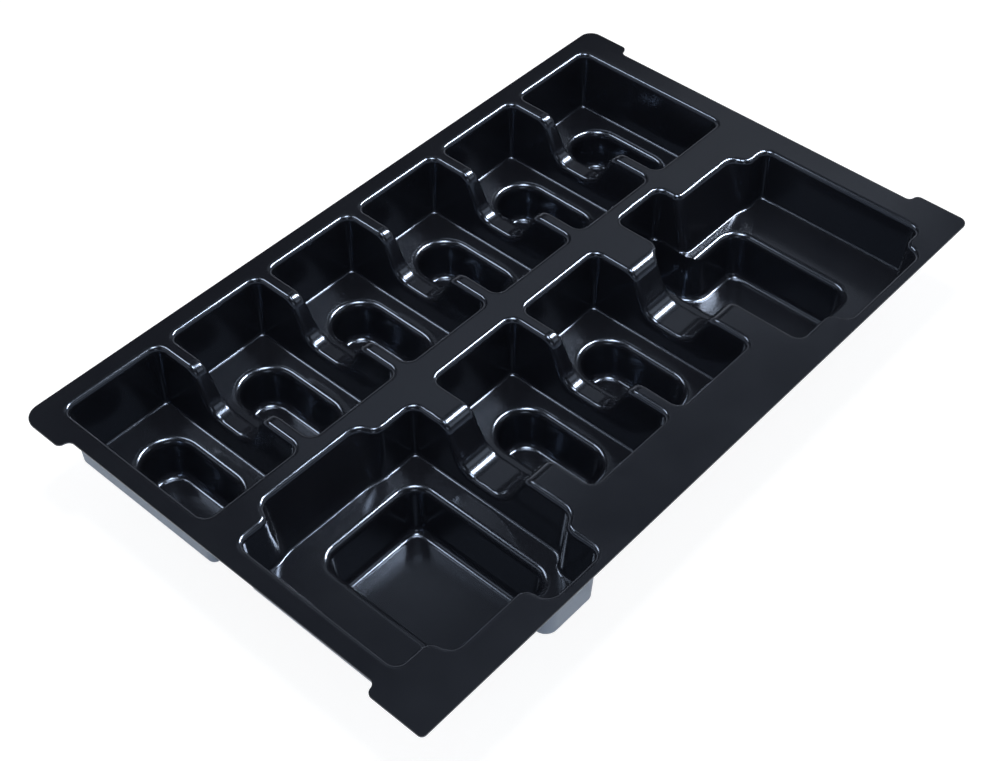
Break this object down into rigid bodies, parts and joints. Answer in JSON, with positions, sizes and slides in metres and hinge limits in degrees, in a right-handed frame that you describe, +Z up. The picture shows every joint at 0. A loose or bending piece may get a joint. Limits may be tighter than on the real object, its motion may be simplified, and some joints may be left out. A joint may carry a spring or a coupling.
{
  "type": "thermoformed plastic tray",
  "caption": "Shallow rectangular tray drawn from one plastic sheet, with a flat flange and two rows of stepped nests joined by finger notches.",
  "frame": {"origin": "on the supporting surface, under the middle of the flange", "axes": "+X along the long side, +Y to the row of six nests, +Z up"},
  "size_m": [0.494, 0.308, 0.071],
  "materials": {
    "sheet": "glossy"
  },
  "bodies": {
    "root": {"tray": "sheet"}
  },
  "joints": []
}
